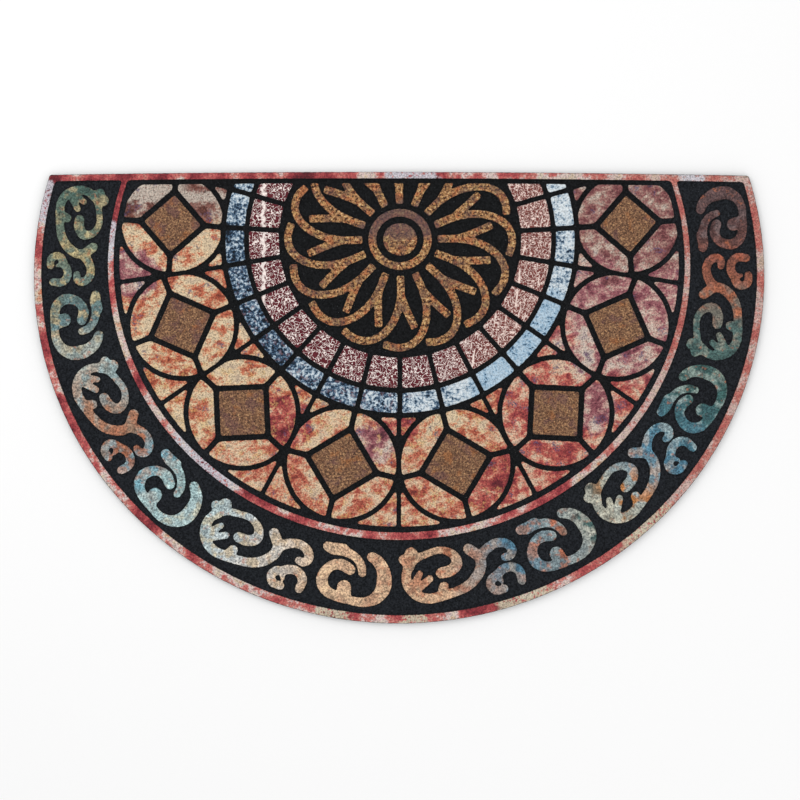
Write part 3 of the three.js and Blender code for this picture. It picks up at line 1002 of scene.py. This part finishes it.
# Where the marbling turns redder, plum or paler than round about: x, y and reach in metres
stoneSpots = {
    "red": [(-0.157, -0.03, 0.04), (0.122, -0.115, 0.042), (0.158, -0.02, 0.03), (0, -0.035, 0.03)],
    "plum": [(0.262, -0.014, 0.034), (-0.032, -0.065, 0.03), (0.3, 0.125, 0.03), (-0.36, 0.168, 0.036)],
    "pale": [(0.232, 0.06, 0.036), (-0.3, 0.12, 0.03), (-0.235, 0.03, 0.022), (0.07, -0.03, 0.022)],
}


def stonePrint():
    flock = Flock("stonePrint")
    streaks = flock.perIsland(flock.turned(10, (0.022, 0.013, 0.02)), 3.1)
    marble = flock.noiseAt(streaks, scale=1.0, detail=6.0, rough=0.62, warp=0.6)
    mottle = flock.cloud(2.8, 3.0, rough=0.6)
    lump = flock.cloud(13, 3.0, place=flock.perIsland(flock.place, 1.6), warp=0.5) - 0.5
    broad = flock.cloud(30, 2.0, place=flock.perIsland(flock.place, 0.9)) - 0.5
    plum = flock.spots(stoneSpots["plum"])
    lean = flock.spots(stoneSpots["pale"]) * 0.08 - flock.spots(stoneSpots["red"]) * 0.08 - plum * 0.035
    value = 0.5 + (marble - 0.5) * 0.7 + lump * 0.54 + broad * 0.35 + (mottle - 0.5) * 0.34 + lean
    drift = (flock.cloud(30, 2.0) - 0.5) * 0.12
    x = flock.x + drift
    y = flock.y + drift
    right = x.between(0.1, 0.16)
    redness = right.larger(flock.spots(stoneSpots["red"])).larger((1 - y.between(-0.09, 0.0)) * 0.4)
    colour = redness.colours(value.ramp(*stoneColours["warm"]), value.ramp(*stoneColours["coral"]))
    upperRight = x.between(0.2, 0.24) * y.between(0.0, 0.06)
    colour = upperRight.larger(plum).colours(colour, value.ramp(*stoneColours["mauve"]))
    left = flock.y.between(0.225, 0.25) * (1 - x.between(-0.24, -0.2))
    dusk = left + x.between(0.2, 0.23) * y.between(0.16, 0.19) * 0.55
    colour = dusk.colours(colour, value.ramp(*stoneColours["dusk"]))
    high = flock.y + (flock.cloud(8, 3.0) - 0.5) * 0.02
    band = high.between(0.262, 0.267) * (1 - flock.x.between(-0.3, -0.28) * high.between(0.277, 0.281))
    band = band * (1 - flock.x.between(-0.24, -0.22)) * mottle.between(0.3, 0.46)
    colour = (band * 0.9).colours(colour, shade(192, 180, 168))
    ochre = flock.patches(11, 0.52, 0.64, 1.1) * mottle.between(0.42, 0.54) * (1 - y.between(0.02, 0.1))
    colour = (ochre * (1 - right) * 0.5).colours(colour, shade(208, 172, 108))
    violet = flock.patches(16, 0.6, 0.7, 0.3) * mottle.between(0.44, 0.56)
    colour = (violet * 0.8).colours(colour, shade(84, 72, 104))
    return flock.finish(colour, 0.52)


squareColours = [
    (0.3, shade(52, 34, 30)), (0.43, shade(108, 76, 56)), (0.55, shade(142, 105, 78)),
    (0.68, shade(196, 154, 110)),
]


def squarePrint():
    flock = Flock("squarePrint")
    colour = flock.cloud(2.2, 3.0, rough=0.7).ramp(*squareColours)
    colour = (flock.patches(17, 0.5, 0.66) * 0.5).colours(colour, shade(98, 66, 72))
    colour = (flock.patches(14, 0.56, 0.72, 0.5) * 0.45).colours(colour, shade(172, 106, 56))
    return flock.finish(colour, 0.55)


# The inner blocks' red ground on the left and on the right, each between two shades, and its pale crackle
innerBlockColours = {
    "redLeft": (shade(76, 22, 32), shade(112, 42, 50)),
    "redRight": (shade(98, 44, 44), shade(138, 80, 72)),
    "pale": (shade(248, 234, 228), shade(240, 216, 206)),
}


def innerBlockPrint():
    flock = Flock("innerBlockPrint")
    right = flock.x.between(0.02, 0.16)
    coarse = abs(flock.cloud(4.3, 0.0, warp=0.8) - 0.5)
    fine = abs(flock.cloud(3.7, 1.0, warp=0.6) - 0.5)
    side = flock.x.between(0.036, 0.044)
    lines = 1 - (coarse * (1 - side) + (fine + 0.006) * side).between(0.028, 0.059)
    streaks = flock.perIsland(flock.turned(80, (0.03, 0.0035, 0.02)), 2.3)
    streak = flock.noiseAt(streaks, scale=1.0, detail=1.0, rough=0.5, warp=0.3)
    thread = streak.between(0.64, 0.7) * flock.x.between(-0.02, 0.12)
    vein = 1 - abs(flock.x + 0.184 + (flock.cloud(9, 3.0) - 0.5) * 0.014).between(0.0008, 0.0034)
    white = lines.larger(thread).larger(vein * flock.y.between(0.1, 0.14))
    redLeft = flock.cloud(7, 2.0).colours(*innerBlockColours["redLeft"])
    redRight = flock.cloud(7, 2.0).colours(*innerBlockColours["redRight"])
    red = right.colours(redLeft, redRight)
    pale = right.colours(*innerBlockColours["pale"])
    return flock.finish(white.colours(red, pale), 0.26)


outerBlockColours = [
    (0.34, shade(16, 24, 34)),
    (0.44, shade(50, 78, 106)),
    (0.5, shade(122, 146, 166)),
    (0.57, shade(190, 204, 214)),
    (0.68, shade(218, 226, 230)),
]
# Where the outer blocks turn bluer or paler: x, y and reach in metres
outerBlockSpots = {"sky": [(0.2, 0.08, 0.07), (0.15, 0.025, 0.06)], "pale": [(0.11, 0.015, 0.045)]}


def outerBlockPrint():
    flock = Flock("outerBlockPrint")
    speck = flock.cloud(4.1, 4.0, rough=0.62)
    patch = flock.cloud(13, 2.0, place=flock.perIsland(flock.place, 0.5))
    sky = flock.spots(outerBlockSpots["sky"])
    lighter = flock.x * 0.42 + flock.y.between(0.225, 0.25) * 0.08
    lighter = lighter + flock.spots(outerBlockSpots["pale"]) * 0.06 + 0.02
    upperRight = flock.x.between(0.12, 0.2) * flock.y.between(0.1, 0.16)
    level = speck + (patch - 0.5) * 0.45 + lighter - upperRight * 0.06
    colour = level.ramp(*outerBlockColours)
    colour = (sky * level.between(0.44, 0.52) * 0.5).colours(colour, shade(128, 174, 206))
    brown = flock.patches(6, 0.56, 0.66, 0.9) * (1 - flock.x.between(-0.02, 0.06))
    brown = brown * (1 - flock.y.between(0.1, 0.2))
    colour = (brown * 0.6).colours(colour, shade(122, 96, 104))
    return flock.finish(colour, 0.36)


ribColours = [
    (0.39, shade(26, 18, 20)),
    (0.45, shade(92, 56, 42)),
    (0.49, shade(152, 106, 68)),
    (0.525, shade(202, 164, 108)),
    (0.56, shade(162, 84, 54)),
    (0.61, shade(228, 202, 150)),
]


def ribPrint():
    flock = Flock("ribPrint")
    mottle = flock.cloud(4.0, 4.0, rough=0.78)
    colour = mottle.ramp(*ribColours)
    rust = flock.patches(13, 0.5, 0.62, 0.4) * mottle.between(0.4, 0.5)
    colour = (rust * 0.45).colours(colour, shade(182, 90, 54))
    colour = (flock.patches(15, 0.5, 0.62, 0.8) * 0.5).colours(colour, shade(86, 66, 66))
    straw = flock.patches(12, 0.56, 0.66, 1.3) * mottle.between(0.44, 0.54)
    colour = (straw * 0.4).colours(colour, shade(196, 168, 108))
    high = (flock.y + (flock.cloud(12, 2.0) - 0.5) * 0.03).between(0.208, 0.224)
    overDisc = high * flock.spots([(hub["x"] * mm, hub["y"] * mm, 0.056)])
    colour = (overDisc * 0.75).colours(colour, shade(96, 74, 76))
    return flock.finish(colour, 0.5)


# Scroll colours from the left end of the border round to the right end, and those of their patches
scrollColours = [
    (0.00, shade(52, 90, 86)), (0.07, shade(112, 124, 108)), (0.13, shade(100, 128, 132)),
    (0.16, shade(168, 172, 164)), (0.2, shade(176, 130, 104)), (0.24, shade(168, 106, 80)),
    (0.29, shade(164, 196, 198)), (0.36, shade(192, 200, 202)), (0.44, shade(220, 186, 152)),
    (0.54, shade(202, 166, 136)), (0.60, shade(74, 118, 142)), (0.69, shade(184, 182, 166)),
    (0.75, shade(84, 130, 154)), (0.81, shade(58, 94, 92)), (0.87, shade(88, 112, 108)),
    (0.89, shade(172, 106, 78)), (0.92, shade(132, 82, 68)), (0.94, shade(92, 64, 62)),
    (1.00, shade(96, 76, 76)),
]
patchColours = [
    (0.00, shade(142, 136, 112)), (0.09, shade(180, 166, 124)), (0.14, shade(176, 166, 142)),
    (0.18, shade(150, 174, 178)), (0.22, shade(164, 130, 106)), (0.26, shade(120, 172, 188)),
    (0.32, shade(188, 188, 170)), (0.44, shade(208, 174, 144)), (0.54, shade(178, 118, 90)),
    (0.60, shade(146, 148, 146)), (0.64, shade(176, 106, 80)), (0.67, shade(62, 106, 106)),
    (0.71, shade(190, 124, 66)), (0.76, shade(150, 172, 180)), (0.83, shade(128, 146, 136)),
    (0.89, shade(120, 108, 98)), (0.92, shade(164, 92, 70)), (0.95, shade(112, 94, 94)),
    (1.00, shade(88, 58, 58)),
]
borderSwing = 3.8  # the angle from one end of those colours to the other, in radians
# What lightens and darkens them, in clouds and in single specks
scrollTints = {
    "lit": (1.5, 1.5, 1.5, 1),
    "dull": (0.5, 0.5, 0.52, 1),
    "paleSpeck": (1.7, 1.66, 1.56, 1),
    "darkSpeck": (0.14, 0.15, 0.17, 1),
}


def scrollPrint():
    flock = Flock("scrollPrint")
    swing = flock.x.maths("ARCTAN2", flock.x, ovals["scroll"]["y"] * mm - flock.y)
    place = swing / borderSwing + 0.5 + (flock.cloud(22, 3.0) - 0.5) * 0.05
    second = flock.patches(15, 0.45, 0.6, 0.6)
    colour = second.colours(place.ramp(*scrollColours), place.ramp(*patchColours))
    tide = flock.cloud(11, 3.0, rough=0.6)
    colour = (tide.between(0.52, 0.66) * 0.6).colours(colour, scrollTints["lit"], "MULTIPLY")
    colour = ((1 - tide).between(0.52, 0.66) * 0.6).colours(colour, scrollTints["dull"], "MULTIPLY")
    mottle = flock.cloud(2.9, 3.0, rough=0.7)
    colour = (mottle.between(0.52, 0.66) * 0.65).colours(colour, scrollTints["paleSpeck"], "MULTIPLY")
    colour = ((1 - mottle).between(0.5, 0.62) * 0.6).colours(colour, scrollTints["darkSpeck"], "MULTIPLY")
    rust = flock.patches(9, 0.6, 0.7, 0.9) * mottle.between(0.4, 0.5)
    colour = (rust * 0.55).colours(colour, shade(180, 104, 70))
    return flock.finish(colour, 0.45)


def dress(piece, material):
    piece.data.materials.clear()
    piece.data.materials.append(material)
    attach(piece, "root")
    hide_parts("mat")


pieces = [
    (slab, bareGround()),
    (edgingPiece, edgingPrint()),
    (stoneTiles, stonePrint()),
    (squares, squarePrint()),
    (innerBlocks, innerBlockPrint()),
    (outerBlocks, outerBlockPrint()),
    (rosettePiece, ribPrint()),
    (scrollPiece, scrollPrint()),
]
for piece, material in pieces:
    dress(piece, material)
print("finishes laid")

# The photo looks straight down. Its frame is 800 pixels of 1.3547 mm, and the rug lies a hair clockwise
# in it.
photo = {"across": 1083.8, "lens": 85, "sensor": 36, "aim": (1.4, -3.1), "turn": 0.07}


def addCamera():
    view = bpy.data.cameras.new("above")
    view.lens = photo["lens"]
    view.sensor_width = photo["sensor"]
    view.clip_end = 20
    camera = addObject("above", view)
    height = photo["across"] * photo["lens"] / photo["sensor"] + rug["thickness"]
    camera.location = (photo["aim"][0] * mm, photo["aim"][1] * mm, height * mm)
    camera.rotation_euler = (0, 0, math.radians(photo["turn"]))
    bpy.context.scene.camera = camera


# The studio, in metres: a pale floor half a millimetre below the rug, an even sky and two lamps
studio = {
    "floor": 8.0,
    "floorDrop": 0.0005,
    "floorShade": shade(253, 253, 253),
    "world": 0.78,
    "aim": (0, 0.05, 0),
    "lamps": {
        "key": {"place": (-0.9, 1.1, 1.9), "size": 1.6, "power": 13},
        "fill": {"place": (1.3, -0.6, 1.8), "size": 2.0, "power": 6},
    },
}


def addFloor():
    clearSelection()
    bpy.ops.mesh.primitive_plane_add(size=studio["floor"])
    floor = bpy.context.object
    floor.name = "floor"
    finish = bpy.data.materials.new("paleFloor")
    finish.use_nodes = True
    skin = finish.node_tree.nodes["Principled BSDF"]
    skin.inputs["Base Color"].default_value = studio["floorShade"]
    skin.inputs["Roughness"].default_value = 0.9
    skin.inputs["Specular IOR Level"].default_value = 0.1
    floor.data.materials.append(finish)
    floor.location.z = -studio["floorDrop"]


def addLight():
    world = bpy.data.worlds.new("studio")
    bpy.context.scene.world = world
    world.use_nodes = True
    sky = world.node_tree.nodes["Background"]
    sky.inputs["Color"].default_value = (1, 1, 1, 1)
    sky.inputs["Strength"].default_value = studio["world"]
    for name, sizes in studio["lamps"].items():
        lamp = bpy.data.lights.new(name, "AREA")
        lamp.energy = sizes["power"]
        lamp.size = sizes["size"]
        box = addObject(name, lamp)
        box.location = sizes["place"]
        towards = Vector(studio["aim"]) - Vector(sizes["place"])
        box.rotation_euler = towards.to_track_quat("-Z", "Y").to_euler()
    bpy.context.scene.view_settings.view_transform = "Standard"


addCamera()
addFloor()
addLight()
print("camera and studio set")
